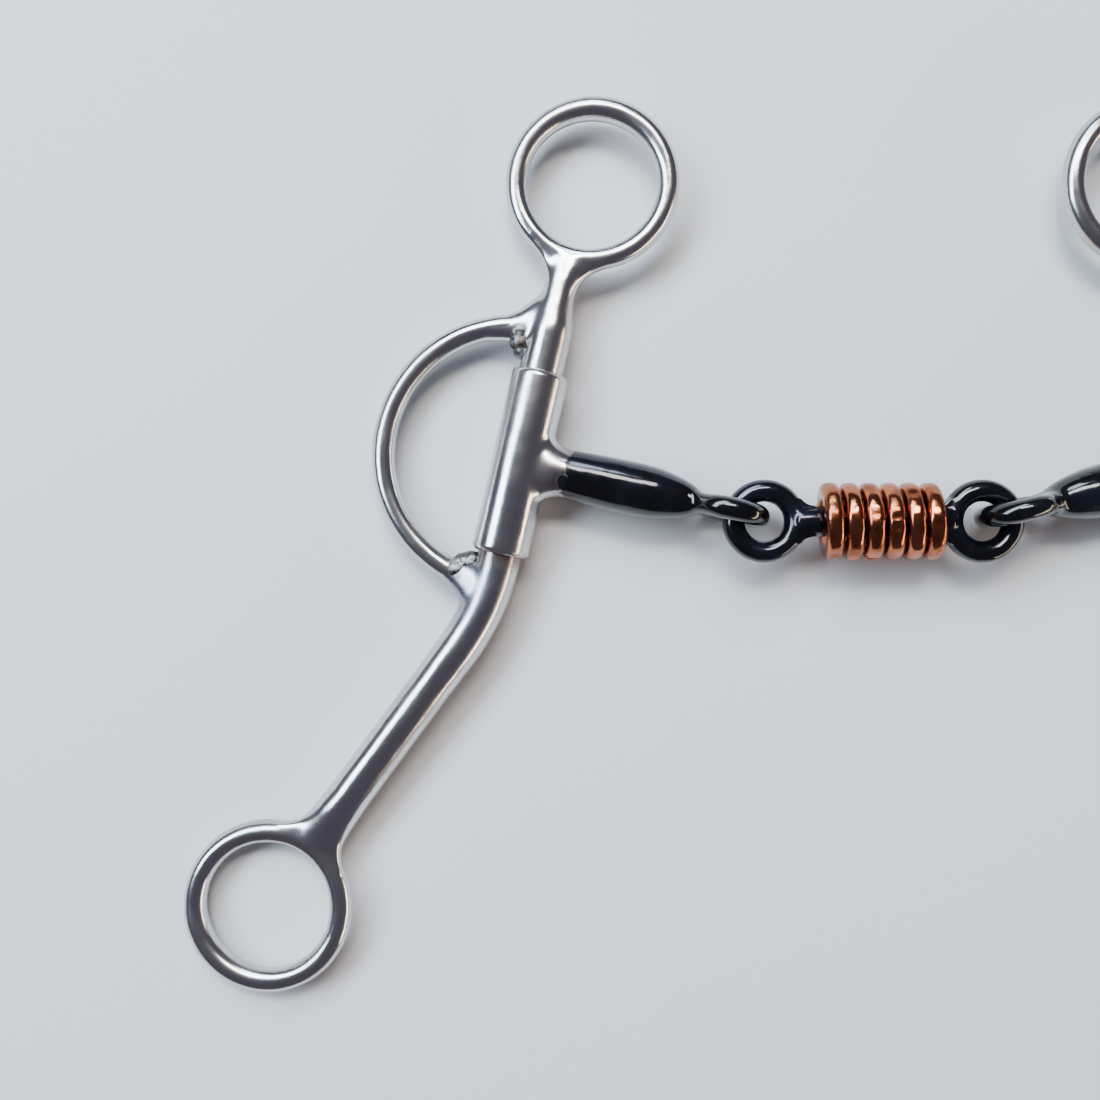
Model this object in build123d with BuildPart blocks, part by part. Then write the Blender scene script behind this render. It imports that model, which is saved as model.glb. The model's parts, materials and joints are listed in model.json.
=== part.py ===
from build123d import *
import os
from math import asin, atan2, cos, degrees, radians, sin, sqrt

# Loose-cheek lever snaffle bit, in millimetres.
# It lies flat: +X along the centre link, +Y towards the headstall rings, +Z up.
# The origin is under the middle of the bounding box, on the surface it lies on.
# Each cheek has its own frame: x inwards along the cannon, y up the post.

# ---- mouthpiece ----
eye_spacing = 41.8          # between the two eye centres of the centre link
bar_dia = 6.0
eye_dia = 16.1
eye_wire = 4.3
eye_seat_gap = 0.3          # between the link's eye and the cannon's eye
seat_angle = 40.0           # degrees from the link's line to where the two eyes bear
cannon_reach = 41.2         # sleeve axis to the centre of the cannon's eye
cannon_rake = 12.8          # degrees between cannon and centre link, seen from above
cannon_dia = 10.4
cannon_root_dia = 9.4
cannon_crown = 23.0         # from the sleeve axis to the fattest point
cannon_shoulder_share = 0.97  # of cannon_dia, on the sleeve's side of the crown
cannon_waist_share = 0.88   # of cannon_dia, on the eye's side of the crown
cannon_swell = 7.0          # from the crown to the shoulder and to the waist
cannon_neck_dia = 5.2
cannon_neck_share = 1.35    # of cannon_neck_dia, where the neck begins
cannon_neck_start = 2.5     # before the eye's wire
cannon_neck_end = 0.5
eye_flare = 3.2             # radius of the web that blends an eye into its bar

# ---- copper rings ----
ring_count = 6
copper_dia = 14.9
copper_wire = 3.44
copper_pitch = 3.82
copper_stack_shift = 1.5    # the stack is pushed towards the right eye
copper_lean = 4.0           # degrees, turned about the upright
copper_tip = 6.0            # degrees, tops tipped towards the left eye

# ---- sleeve ----
sleeve_dia = 11.2
sleeve_length = 36.0
sleeve_edge = 0.9
post_clearance = 0.1        # radial, between post and sleeve
stub_dia = 9.4
stub_reach = 9.8            # sleeve axis to the joint between steel and iron
stub_fillet = 3.0

# ---- cheek ----
post_dia = 8.6
neck_dia = 6.2
taper_start = 26.0          # above the sleeve's middle
taper_end = 33.5
head_ring_up = 56.0
head_ring_in = 1.6
head_ring_dia = 33.7
head_ring_wire = 4.2
shank_dia = 8.3
bend_down = 29.0            # below the sleeve's middle
bend_angle = 23.8           # degrees
bend_radius = 46.0
shank_reach = 72.1          # bend to the rein ring's centre
rein_ring_dia = 33.4
rein_ring_wire = 4.4
ring_sector = 34.0          # degrees, half of the ring arc forged with the shank
flare_radius = 7.0
bow_radius = 25.1
bow_up = 1.2
bow_out = 2.0
bow_wire = 4.46
bow_start = 93.0            # degrees, the upper end, inside the post
bow_sweep = 174.0
weld_dia = 6.6
weld_gap = 0.45             # between the lower weld and the sleeve
weld_rise = 0.3             # most that a lobe stands above the weld's middle
weld_drop = 0.6             # upper weld's middle, below the end of the bow
weld_lobes = (              # out from the post, up, lift off the plane, share of weld_dia
    (0.7, 0.2, 0.3, 1.0),
    (2.9, -0.3, -0.2, 0.88),
)
web_share = 0.72            # thickness of a web, as a share of its ring's wire
web_edge_share = 0.2        # chamfer of a web, as a share of its thickness

# ---- derived sizes ----
eye_radius = (eye_dia - eye_wire) / 2
seat_offset = eye_radius - eye_wire - eye_seat_gap
post_r = post_dia / 2
head_ring_radius = (head_ring_dia - head_ring_wire) / 2
rein_ring_radius = (rein_ring_dia - rein_ring_wire) / 2
rein_ring_down = bend_down + shank_reach * cos(radians(bend_angle))
rein_ring_out = shank_reach * sin(radians(bend_angle))
head_side = 270 - degrees(atan2(head_ring_in, head_ring_up - taper_end))
rein_side = 90 - bend_angle
sleeve_r = sleeve_dia / 2
bore_dia = post_dia + 2 * post_clearance

# the sleeves and the cannons' upright eyes touch the surface below
link_height = eye_dia / 2
cannon_rise = degrees(asin((link_height - sleeve_r) / cannon_reach))
# each cheek droops outwards until its shank or its rein ring touches the surface
shank_end_out = (shank_reach - rein_ring_radius) * sin(radians(bend_angle))
ring_edge_out = rein_ring_out + rein_ring_radius
shank_droop = asin((sleeve_r - shank_dia / 2) / shank_end_out)
ring_droop = asin((sleeve_r - rein_ring_wire / 2) / ring_edge_out)
droop = degrees(min(shank_droop, ring_droop))


def spot(along, across):
    """A vector in plan, from lengths along and across the left cannon."""
    rake = radians(cannon_rake)
    return Vector(along * cos(rake) + across * sin(rake), across * cos(rake) - along * sin(rake))


left_eye = Vector(-eye_spacing / 2, 0)
tip_seat = left_eye + Vector(-seat_offset * cos(radians(seat_angle)), seat_offset * sin(radians(seat_angle)))
cannon_eye = tip_seat - spot(eye_radius, 0)
plan_reach = cannon_reach * cos(radians(cannon_rise))
sleeve_spot = cannon_eye - spot(plan_reach, 0)

# the bounding box runs from the rein ring's rim to the headstall ring's rim
ring_tilt = sqrt(1 - (sin(radians(cannon_rake)) * sin(radians(droop))) ** 2)
head_spot = sleeve_spot + spot(head_ring_in * cos(radians(droop)), head_ring_up)
rein_spot = sleeve_spot + spot(-rein_ring_out * cos(radians(droop)), -rein_ring_down)
top_y = head_spot.Y + head_ring_radius * ring_tilt + head_ring_wire / 2
bottom_y = rein_spot.Y - rein_ring_radius * ring_tilt - rein_ring_wire / 2
link_y = -(top_y + bottom_y) / 2

# ---- frames ----
link_plane = Plane(origin=(0, link_y, link_height), x_dir=(1, 0, 0), z_dir=(0, 0, 1))
post_up = spot(0, 1)
sleeve_centre = Vector(sleeve_spot.X, sleeve_spot.Y + link_y, sleeve_r)


def tilted_frame(angle):
    """A frame at the sleeve's middle whose x axis rises by angle as it runs inwards."""
    inwards = spot(cos(radians(angle)), 0) + Vector(0, 0, sin(radians(angle)))
    return Plane(origin=sleeve_centre, x_dir=inwards, z_dir=inwards.cross(post_up))


arm_plane = tilted_frame(cannon_rise)
cheek_plane = tilted_frame(droop)


def frame_at(plane, x, y, x_dir, z_dir):
    """A plane at x, y of another plane, with both directions given in that plane."""
    turned = Plane(origin=(x, y, 0), x_dir=x_dir, z_dir=z_dir)
    return Plane(plane.location * turned.location)


def arc_bar(plane, x, y, radius, wire, start, sweep):
    """Round bar bent about x, y of a plane, from start through sweep degrees."""
    toward = (cos(radians(start)), sin(radians(start)), 0)
    along = (-sin(radians(start)), cos(radians(start)), 0)
    section = frame_at(plane, x + radius * toward[0], y + radius * toward[1], toward, along)
    hub = frame_at(plane, x, y, (1, 0, 0), (0, 0, 1))
    with BuildPart() as bar:
        with BuildSketch(section):
            Circle(wire / 2)
        revolve(axis=Axis(hub.origin, hub.z_dir), revolution_arc=sweep)
    return bar.part


def full_ring(plane, x, y, radius, wire):
    """A closed ring of round bar centred on x, y of a plane."""
    with BuildPart(frame_at(plane, x, y, (1, 0, 0), (0, 0, 1))) as ring:
        Torus(radius, wire / 2)
    return ring.part


def turned_bar(plane, x, y, angle, stations, smooth=False):
    """A bar turned about the line from x, y at angle, through (distance, diameter) stations."""
    profile = frame_at(plane, x, y, (cos(radians(angle)), sin(radians(angle)), 0), (0, 0, 1))
    rim = [(along, dia / 2) for along, dia in stations]
    with BuildPart() as bar:
        with BuildSketch(profile):
            with BuildLine():
                if smooth:
                    Spline(*rim)
                else:
                    Polyline(*rim)
                Polyline(rim[-1], (rim[-1][0], 0), (rim[0][0], 0), rim[0])
            make_face()
        revolve(axis=Axis(profile.origin, profile.x_dir))
    return bar.part


def web(plane, x, y, angle, radius, wire, bar_width, flare):
    """Flat web with concave sides, between a ring at x, y and the bar that leaves it at angle."""
    across = frame_at(plane, x, y, (cos(radians(angle)), sin(radians(angle)), 0), (0, 0, 1))
    rim = radius + wire / 2
    half = bar_width / 2
    turn = degrees(asin((half + flare) / (rim + flare)))
    hub = Vector((rim + flare) * cos(radians(turn)), half + flare)
    middle = hub + Vector(flare, 0).rotate(Axis.Z, 225 + turn / 2)
    touch = Vector(rim, 0).rotate(Axis.Z, turn)
    inner = Vector(radius, 0).rotate(Axis.Z, turn)
    inner_middle = Vector(radius, 0).rotate(Axis.Z, turn / 2)
    thickness = wire * web_share
    with BuildPart() as plate:
        with BuildSketch(across):
            with BuildLine():
                Line(inner, touch)
                ThreePointArc(touch, middle, (hub.X, half))
                Line((hub.X, half), (hub.X, 0))
                Line((hub.X, 0), (radius, 0))
                ThreePointArc((radius, 0), inner_middle, inner)
            make_face()
            mirror(about=Plane.XZ)
        extrude(amount=thickness / 2, both=True)
        chamfer(plate.faces().filter_by(across).edges(), thickness * web_edge_share)
    return plate.part


def joined(*pieces):
    """One solid from overlapping pieces."""
    with BuildPart() as whole:
        for piece in pieces:
            add(piece)
    return whole.part


def cut(piece, *tools):
    """A piece without the space that its neighbours take."""
    with BuildPart() as rest:
        add(piece)
        for tool in tools:
            add(tool, mode=Mode.SUBTRACT)
    return rest.part


# ---- mouthpiece pieces ----
def make_center_link():
    """Dog-bone: a round bar with a flat eye at each end."""
    half = eye_spacing / 2
    bar_end = half - eye_radius
    with BuildPart() as link:
        add(turned_bar(link_plane, -bar_end, 0, 0, [(0, bar_dia), (2 * bar_end, bar_dia)]))
        for side, angle in ((-1, 0), (1, 180)):
            add(full_ring(link_plane, side * half, 0, eye_radius, eye_wire))
            add(web(link_plane, side * half, 0, angle, eye_radius, eye_wire, bar_dia, eye_flare))
    return link.part


def make_cannon():
    """Iron cannon, swelling from the sleeve's stub and ending in an upright eye."""
    upright = Plane(origin=arm_plane.origin, x_dir=arm_plane.x_dir, z_dir=-arm_plane.y_dir)
    neck = cannon_reach - eye_radius
    stations = [
        (stub_reach, cannon_root_dia),
        (cannon_crown - cannon_swell, cannon_dia * cannon_shoulder_share),
        (cannon_crown, cannon_dia),
        (cannon_crown + cannon_swell, cannon_dia * cannon_waist_share),
        (neck - cannon_neck_start, cannon_neck_dia * cannon_neck_share),
        (neck - cannon_neck_end, cannon_neck_dia),
    ]
    return joined(
        turned_bar(upright, 0, 0, 0, stations, smooth=True),
        full_ring(upright, cannon_reach, 0, eye_radius, eye_wire),
        web(upright, cannon_reach, 0, 180, eye_radius, eye_wire, bar_dia, eye_flare),
    )


def make_sleeve():
    """T-shaped steel sleeve: a tube on the post, with a stub that holds the cannon."""
    tube = frame_at(arm_plane, 0, 0, (0, 0, 1), (0, 1, 0))
    stub = frame_at(arm_plane, 0, 0, (0, 1, 0), (1, 0, 0))
    with BuildPart() as sleeve:
        with BuildSketch(tube):
            Circle(sleeve_r)
        extrude(amount=sleeve_length / 2, both=True)
        fillet(sleeve.edges(), sleeve_edge)
        with BuildSketch(stub):
            Circle(stub_dia / 2)
        extrude(amount=stub_reach)
        root = sleeve.edges(Select.LAST).filter_by(GeomType.CIRCLE, reverse=True)
        fillet(root, stub_fillet)
        with BuildSketch(tube):
            Circle(bore_dia / 2)
        extrude(amount=sleeve_length / 2, both=True, mode=Mode.SUBTRACT)
    return sleeve.part


def make_copper_ring(number):
    """Loose ring of copper wire, leaning a little and resting on the surface below."""
    across = (number - (ring_count - 1) / 2) * copper_pitch + copper_stack_shift
    lean, tip = radians(copper_lean), radians(copper_tip)
    radius = (copper_dia - copper_wire) / 2
    centre = (across, link_y, radius * cos(tip) + copper_wire / 2)
    axis = (cos(lean) * cos(tip), sin(lean) * cos(tip), sin(tip))
    return full_ring(Plane(origin=centre, z_dir=axis), 0, 0, radius, copper_wire)


# ---- cheek pieces ----
def make_shank():
    """Post, bend and lower shank in one bar, with a forged fork at each end."""
    bend_length = bend_radius * sin(radians(bend_angle / 2)) / cos(radians(bend_angle / 2))
    bend_top = bend_length - bend_down
    post = [
        (0, post_dia),
        (taper_start - bend_top, post_dia),
        (taper_end - bend_top, neck_dia),
        (head_ring_up - head_ring_radius - bend_top, neck_dia),
    ]
    lower = [(bend_length, shank_dia), (shank_reach - rein_ring_radius, shank_dia)]
    head = (cheek_plane, head_ring_in, head_ring_up)
    rein = (cheek_plane, -rein_ring_out, -rein_ring_down)
    sector = 2 * ring_sector
    return joined(
        turned_bar(cheek_plane, 0, bend_top, 90, post),
        arc_bar(cheek_plane, -bend_radius, bend_top, bend_radius, post_dia, -bend_angle, bend_angle),
        turned_bar(cheek_plane, 0, -bend_down, 270 - bend_angle, lower),
        web(*head, head_side, head_ring_radius, head_ring_wire, neck_dia, flare_radius),
        web(*rein, rein_side, rein_ring_radius, rein_ring_wire, shank_dia, flare_radius),
        arc_bar(*head, head_ring_radius, head_ring_wire, head_side - ring_sector, sector),
        arc_bar(*rein, rein_ring_radius, rein_ring_wire, rein_side - ring_sector, sector),
    )


def make_head_ring():
    """Open ring of round bar that the headstall's cheekpiece hangs from."""
    return arc_bar(
        cheek_plane, head_ring_in, head_ring_up, head_ring_radius, head_ring_wire,
        head_side + ring_sector, 360 - 2 * ring_sector,
    )


def make_rein_ring():
    """Open ring of round bar at the foot of the shank, for the lever rein."""
    return arc_bar(
        cheek_plane, -rein_ring_out, -rein_ring_down, rein_ring_radius, rein_ring_wire,
        rein_side + ring_sector, 360 - 2 * ring_sector,
    )


def make_bow_bar():
    """Bent bar of the bow, with ends that still run into the post."""
    return arc_bar(cheek_plane, -bow_out, bow_up, bow_radius, bow_wire, bow_start, bow_sweep)


def make_weld(up, shank, bow_bar):
    """Two-lobed weld bead between an end of the bow and the post."""
    with BuildPart() as bead:
        for out, rise, lift, share in weld_lobes:
            lobe = frame_at(cheek_plane, -post_r - out, up + rise, (0, 1, 0), (1, 0, 0))
            with Locations(lobe.location * Pos(0, lift, 0)):
                Sphere(share * weld_dia / 2)
    return cut(bead.part, shank, bow_bar)


# ---- all pieces ----
def make_cheek():
    """The six pieces that are welded into the left cheek, by name."""
    shank = make_shank()
    bow_bar = make_bow_bar()
    lower_weld_up = -sleeve_length / 2 - weld_gap - weld_dia / 2 - weld_rise
    return {
        "shank": shank,
        "headstall_ring": make_head_ring(),
        "rein_ring": make_rein_ring(),
        "bow": cut(bow_bar, shank),
        "upper_bow_weld": make_weld(bow_up + bow_radius - weld_drop, shank, bow_bar),
        "lower_bow_weld": make_weld(lower_weld_up, shank, bow_bar),
    }


left_pieces = {"sleeve": make_sleeve(), "cannon": make_cannon(), **make_cheek()}

pieces = {"center_link": make_center_link()}
for ring_number in range(ring_count):
    pieces[f"copper_ring_{ring_number + 1}"] = make_copper_ring(ring_number)
for name, piece in left_pieces.items():
    pieces[f"left_{name}"] = piece
    pieces[f"right_{name}"] = mirror(piece, about=Plane.YZ)

os.makedirs("parts", exist_ok=True)
for name, piece in pieces.items():
    piece.label = name
    export_step(piece, f"parts/{name}.step")
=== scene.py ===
"""Snaffle bit with loose lever cheeks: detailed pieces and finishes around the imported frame."""
import json
import math

import bpy
from mathutils import Matrix, Vector


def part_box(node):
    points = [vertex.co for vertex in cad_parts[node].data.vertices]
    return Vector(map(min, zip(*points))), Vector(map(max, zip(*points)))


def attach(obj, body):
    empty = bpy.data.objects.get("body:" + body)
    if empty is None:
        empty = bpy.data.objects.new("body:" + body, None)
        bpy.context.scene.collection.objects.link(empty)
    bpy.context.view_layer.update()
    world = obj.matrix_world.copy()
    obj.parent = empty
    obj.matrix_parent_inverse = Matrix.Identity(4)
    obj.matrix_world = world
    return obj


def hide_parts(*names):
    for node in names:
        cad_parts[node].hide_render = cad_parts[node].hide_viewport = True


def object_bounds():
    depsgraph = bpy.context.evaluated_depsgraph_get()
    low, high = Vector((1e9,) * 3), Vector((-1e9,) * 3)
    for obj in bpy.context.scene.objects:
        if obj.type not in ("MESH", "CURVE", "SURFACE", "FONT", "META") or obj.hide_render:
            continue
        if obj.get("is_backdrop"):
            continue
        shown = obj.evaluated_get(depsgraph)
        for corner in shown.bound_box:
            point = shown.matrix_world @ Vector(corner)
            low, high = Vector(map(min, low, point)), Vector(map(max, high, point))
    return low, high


bl_info = {
    "name": "Snaffle Bit",
    "version": (1, 0, 0),
    "blender": (4, 5, 0),
    "location": "View3D > Sidebar > Snaffle",
    "description": "Models and finishes a loose-cheek lever snaffle around its frame",
    "category": "Add Mesh",
}

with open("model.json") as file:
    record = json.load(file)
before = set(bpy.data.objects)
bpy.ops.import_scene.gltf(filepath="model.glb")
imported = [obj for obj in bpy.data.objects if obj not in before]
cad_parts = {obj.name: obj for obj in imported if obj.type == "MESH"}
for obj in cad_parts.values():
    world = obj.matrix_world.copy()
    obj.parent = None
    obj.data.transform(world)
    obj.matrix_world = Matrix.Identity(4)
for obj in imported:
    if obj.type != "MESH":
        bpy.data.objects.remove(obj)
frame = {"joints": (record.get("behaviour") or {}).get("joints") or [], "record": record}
CAD_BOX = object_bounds()
JOINTS = {joint["name"]: joint for joint in frame["joints"]}
MOUNTS = {mount["name"]: mount for mount in frame["record"]["mounts"]}

# Pieces are modelled in millimetres in the frame of their own part, then laid into the row.
MM = 0.001
CREASE_ANGLE = math.radians(50)


# ---------------------------------------------------------------- frames

def axes_frame(origin, x_axis, y_axis):
    """Matrix from a part's own millimetres to the row, from its origin and two axes."""
    x_axis = x_axis.normalized()
    y_axis = (y_axis - y_axis.dot(x_axis) * x_axis).normalized()
    turned = Matrix((x_axis, y_axis, x_axis.cross(y_axis))).transposed().to_4x4()
    return Matrix.Translation(origin) @ turned @ Matrix.Scale(MM, 4)


def side_frame(matrix, side):
    """A left frame, or its reflection for the right side."""
    return matrix if side == "left" else Matrix.Scale(-1, 4, (1, 0, 0)) @ matrix


def left_frames():
    """Frames of the left cheek and the left arm: x inwards, y up the post."""
    swing = JOINTS["left_cheek_swing"]
    origin = Vector(swing["pos_m"])
    post = -Vector(swing["axis"])
    to_rein = Vector(MOUNTS["left_rein_ring"]["pos_m"]) - origin
    outwards = to_rein - to_rein.dot(post) * post
    to_eye = Vector(JOINTS["left_cannon_swing"]["pos_m"]) - origin
    return axes_frame(origin, -outwards, post), axes_frame(origin, to_eye, post)


CHEEK, ARM = left_frames()
LINK_LOW, LINK_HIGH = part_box("center_link")
LINK = Matrix.Translation((LINK_LOW + LINK_HIGH) / 2) @ Matrix.Scale(MM, 4)
EYE_PLACE, POST_PLACE = (Vector(JOINTS[f"left_{name}_swing"]["pos_m"]) for name in ("cannon", "cheek"))
ARM_REACH = (EYE_PLACE - POST_PLACE).length / MM
LINK_HALF = (LINK_HIGH.x - LINK_LOW.x) / 2 / MM


def in_frame(matrix, mount):
    """A mount's place in a part's own millimetres."""
    return matrix.inverted() @ Vector(MOUNTS[mount]["pos_m"])


HEAD_CENTRE = in_frame(CHEEK, "left_headstall_ring")
REIN_CENTRE = in_frame(CHEEK, "left_rein_ring")

# Lengths along the post from the sleeve's middle, and the shank's bend, in millimetres.
BEND_DOWN = 29.0
BEND_RADIUS = 46.0
BEND_ANGLE = math.degrees(math.atan2(-REIN_CENTRE.x, -REIN_CENTRE.y - BEND_DOWN))
BEND_TOP = BEND_RADIUS * math.tan(math.radians(BEND_ANGLE / 2)) - BEND_DOWN
BEND_MIDDLE = Vector((-BEND_RADIUS, BEND_TOP, 0))
SHANK_LINE = Vector((-math.sin(math.radians(BEND_ANGLE)), -math.cos(math.radians(BEND_ANGLE)), 0))
BEND_END = BEND_MIDDLE + BEND_RADIUS * Vector((-SHANK_LINE.y, SHANK_LINE.x, 0))
TAPER_HEAD = 26.0
TAPER_FOOT = 33.5
NECK_START = Vector((0, TAPER_FOOT - 0.4, 0))
HEAD_LINE = (HEAD_CENTRE - NECK_START).normalized()

# The sleeve's stub, the bow's arc, and the gap between the lower weld and the sleeve.
STUB_DIA = 9.4
STUB_REACH = 9.8
BOW_RADIUS = 25.1
BOW_UP = 1.2
BOW_OUT = 2.0
BOW_START = 93.0
BOW_SWEEP = 174.0
BOW_MIDDLE = Vector((-BOW_OUT, BOW_UP, 0))
WELD_GAP = 0.45

# Radius of a fork's concave sides, and how far round each way its ring is forged with it, in degrees.
FLARE = 7.0
SECTOR = 34.0

# A web is a little thinner than its ring's bar, and forged pieces are skinned at these grains.
WEB_SHARE = 0.8
STEEL_GRAIN = 0.34
IRON_GRAIN = 0.3
BEAD_GRAIN = 0.2

# Where bars run together the skin is smoothed: each blend is (reach, rounds).
RING_BLEND = (10, 80)
NECK_BLEND = (6, 12)
BEND_BLEND = (6, 10)
LOWER_ROOT, LOWER_ROOT_BLEND = (-5.6, -25.0, 0), (8.5, 60)
UPPER_ROOT, UPPER_ROOT_BLEND = (-4.6, 27.8, 0), (8.0, 60)
STUB_BLEND = (10.5, 60)
CANNON_NECK_BLEND = (9.0, 140)
CANNON_BELLY, CANNON_BELLY_BLEND = (25, 0, 0), (12, 20)
LINK_NECK_BLEND = (5.2, 22)
BEAD_BLEND = (14, 10)

# Length and depth of the slight waves that hand work leaves in the steel.
STEEL_WAVES = (6.0, 0.05)

# Each bow end fans out as it runs into the post: (start, end, stations), where a station is
# (distance, half thickness, half width).
BOW_FANS = (
    ((-12.0, -21.95, 0), (-1.0, -25.3, 0),
     ((0, 2.2, 2.2), (3, 2.24, 2.4), (5, 2.4, 2.9), (6.5, 2.7, 3.6), (8, 3.1, 4.6), (10.5, 3.6, 6.0))),
    ((-12.6, 23.95, 0), (-1.0, 27.2, 0),
     ((0, 2.2, 2.2), (4, 2.26, 2.5), (6.5, 2.45, 3.3), (8.5, 2.7, 4.5), (10.8, 2.9, 6.2))),
)

# Each copper ring's seam and dents, in degrees from its far side over its top; the seam is open
# this far each way, and a dent is (place, reach, depth).
SEAM_HALF_GAP = 3.2
SEAMS = (250, 285, 171, 262, 300, 240)
DENTS = (
    ((150, 1.6, 0.25), (60, 2.2, 0.2)),
    ((163, 1.3, 0.55), (100, 1.7, 0.15)),
    ((158, 1.5, 0.3), (80, 2.0, 0.15)),
    ((100, 1.5, 0.4), (85, 1.2, 0.25), (150, 1.8, 0.2)),
    ((125, 2.0, 0.2), (45, 1.8, 0.25)),
    ((95, 1.6, 0.25), (165, 1.8, 0.3)),
)


# ---------------------------------------------------------------- sizes and colours

class SnaffleSizes(bpy.types.PropertyGroup):
    """Sizes of the visible pieces."""

    sleeve_dia: bpy.props.FloatProperty(
        name="Sleeve diameter", description="Outside of the turning sleeve",
        default=0.0112, unit="LENGTH", subtype="DISTANCE")
    sleeve_length: bpy.props.FloatProperty(
        name="Sleeve length", description="Sleeve from end to end along the post",
        default=0.036, unit="LENGTH", subtype="DISTANCE")
    bore_dia: bpy.props.FloatProperty(
        name="Sleeve bore", description="Bore of the sleeve, a running fit on the post",
        default=0.0088, unit="LENGTH", subtype="DISTANCE")
    post_dia: bpy.props.FloatProperty(
        name="Post diameter", description="Straight post inside the sleeve",
        default=0.0086, unit="LENGTH", subtype="DISTANCE")
    shank_dia: bpy.props.FloatProperty(
        name="Shank diameter", description="Lower shank between bend and rein ring",
        default=0.0083, unit="LENGTH", subtype="DISTANCE")
    neck_dia: bpy.props.FloatProperty(
        name="Neck diameter", description="Slim neck below the headstall ring",
        default=0.0066, unit="LENGTH", subtype="DISTANCE")
    head_dia: bpy.props.FloatProperty(
        name="Headstall ring diameter", description="Outside of the headstall ring",
        default=0.0337, unit="LENGTH", subtype="DISTANCE")
    rein_dia: bpy.props.FloatProperty(
        name="Rein ring diameter", description="Outside of the rein ring",
        default=0.0334, unit="LENGTH", subtype="DISTANCE")
    head_wire: bpy.props.FloatProperty(
        name="Headstall ring bar", description="Thickness of the headstall ring's bar",
        default=0.0042, unit="LENGTH", subtype="DISTANCE")
    rein_wire: bpy.props.FloatProperty(
        name="Rein ring bar", description="Thickness of the rein ring's bar",
        default=0.0044, unit="LENGTH", subtype="DISTANCE")
    bow_wire: bpy.props.FloatProperty(
        name="Bow bar", description="Thickness of the snaffle bow's bar",
        default=0.00446, unit="LENGTH", subtype="DISTANCE")
    eye_wire: bpy.props.FloatProperty(
        name="Eye bar", description="Thickness of the mouthpiece eyes",
        default=0.0043, unit="LENGTH", subtype="DISTANCE")
    eye_dia: bpy.props.FloatProperty(
        name="Eye diameter", description="Outside of the mouthpiece eyes",
        default=0.0161, unit="LENGTH", subtype="DISTANCE")
    copper_wire: bpy.props.FloatProperty(
        name="Copper wire", description="Thickness of the copper rings' wire",
        default=0.00344, unit="LENGTH", subtype="DISTANCE")
    copper_dia: bpy.props.FloatProperty(
        name="Copper ring diameter", description="Outside of the copper rings",
        default=0.0149, unit="LENGTH", subtype="DISTANCE")


class SnaffleColours(bpy.types.PropertyGroup):
    """Colours of the finishes."""

    steel: bpy.props.FloatVectorProperty(
        name="Steel", description="Polished stainless steel", subtype="COLOR",
        size=3, default=(0.63, 0.63, 0.625))
    weld: bpy.props.FloatVectorProperty(
        name="Weld", description="Weld metal left as it cooled", subtype="COLOR",
        size=3, default=(0.145, 0.145, 0.135))
    iron: bpy.props.FloatVectorProperty(
        name="Blued iron", description="Sweet iron with a blue-black oxide", subtype="COLOR",
        size=3, default=(0.0045, 0.005, 0.0065))
    copper: bpy.props.FloatVectorProperty(
        name="Copper", description="Copper wire, handled and slightly dull", subtype="COLOR",
        size=3, default=(0.49, 0.163, 0.074))
    rust: bpy.props.FloatVectorProperty(
        name="Rust", description="Stain where the sleeve rests on the shank", subtype="COLOR",
        size=3, default=(0.15, 0.052, 0.036))


def size(name):
    """A size in millimetres."""
    return getattr(bpy.context.scene.snaffle_sizes, name) / MM


def ring_radius(name):
    """Radius to the middle of the head or rein ring's bar."""
    return (size(name + "_dia") - size(name + "_wire")) / 2


def colour(name):
    """A colour with full alpha."""
    return (*getattr(bpy.context.scene.snaffle_colours, name), 1.0)


# ---------------------------------------------------------------- modelling by hand

def clear():
    """Leaves edit mode with nothing selected."""
    if bpy.context.object and bpy.context.object.mode != "OBJECT":
        bpy.ops.object.mode_set(mode="OBJECT")
    bpy.ops.object.select_all(action="DESELECT")


def choose(*objects):
    """Selects these objects only, with the first one active."""
    clear()
    for obj in objects:
        obj.select_set(True)
    bpy.context.view_layer.objects.active = objects[0]


def edit_all(obj):
    """Edit mode on one object with everything selected."""
    choose(obj)
    bpy.ops.object.mode_set(mode="EDIT")
    bpy.ops.mesh.select_all(action="SELECT")


def tidy_normals(obj):
    """Merges doubles and turns the faces outwards."""
    edit_all(obj)
    bpy.ops.mesh.remove_doubles(threshold=0.002)
    bpy.ops.mesh.normals_make_consistent(inside=False)
    bpy.ops.object.mode_set(mode="OBJECT")
    return obj


def bake_place(obj):
    """Moves the object's place into its mesh."""
    choose(obj)
    bpy.ops.object.transform_apply(location=True, rotation=True, scale=True)
    return obj


def modifier(obj, kind, **settings):
    """Adds a modifier with these settings and applies it."""
    choose(obj)
    made = obj.modifiers.new(kind.title(), kind)
    for key, value in settings.items():
        setattr(made, key, value)
    bpy.ops.object.modifier_apply(modifier=made.name)
    return obj


def drawn_bar(stations, segments=48):
    """Round bar along +Z: a disc extruded and scaled through (height, x radius, y radius) stations."""
    clear()
    height, wide, deep = stations[0]
    bpy.ops.mesh.primitive_circle_add(
        vertices=segments, radius=1, fill_type="NGON", location=(0, 0, height))
    bar = bpy.context.object
    bar.scale = (wide, deep, 1)
    bake_place(bar)
    edit_all(bar)
    for (low, wide, deep), (high, next_wide, next_deep) in zip(stations, stations[1:]):
        bpy.ops.mesh.extrude_region_move(TRANSFORM_OT_translate={"value": (0, 0, high - low)})
        grow = (next_wide / wide, next_deep / deep, 1)
        bpy.ops.transform.resize(value=grow, center_override=(0, 0, high))
    return tidy_normals(bar)


def round_bar(stations, segments=48):
    """Round bar along +Z through (height, diameter) stations."""
    return drawn_bar([(height, dia / 2, dia / 2) for height, dia in stations], segments)


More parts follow.
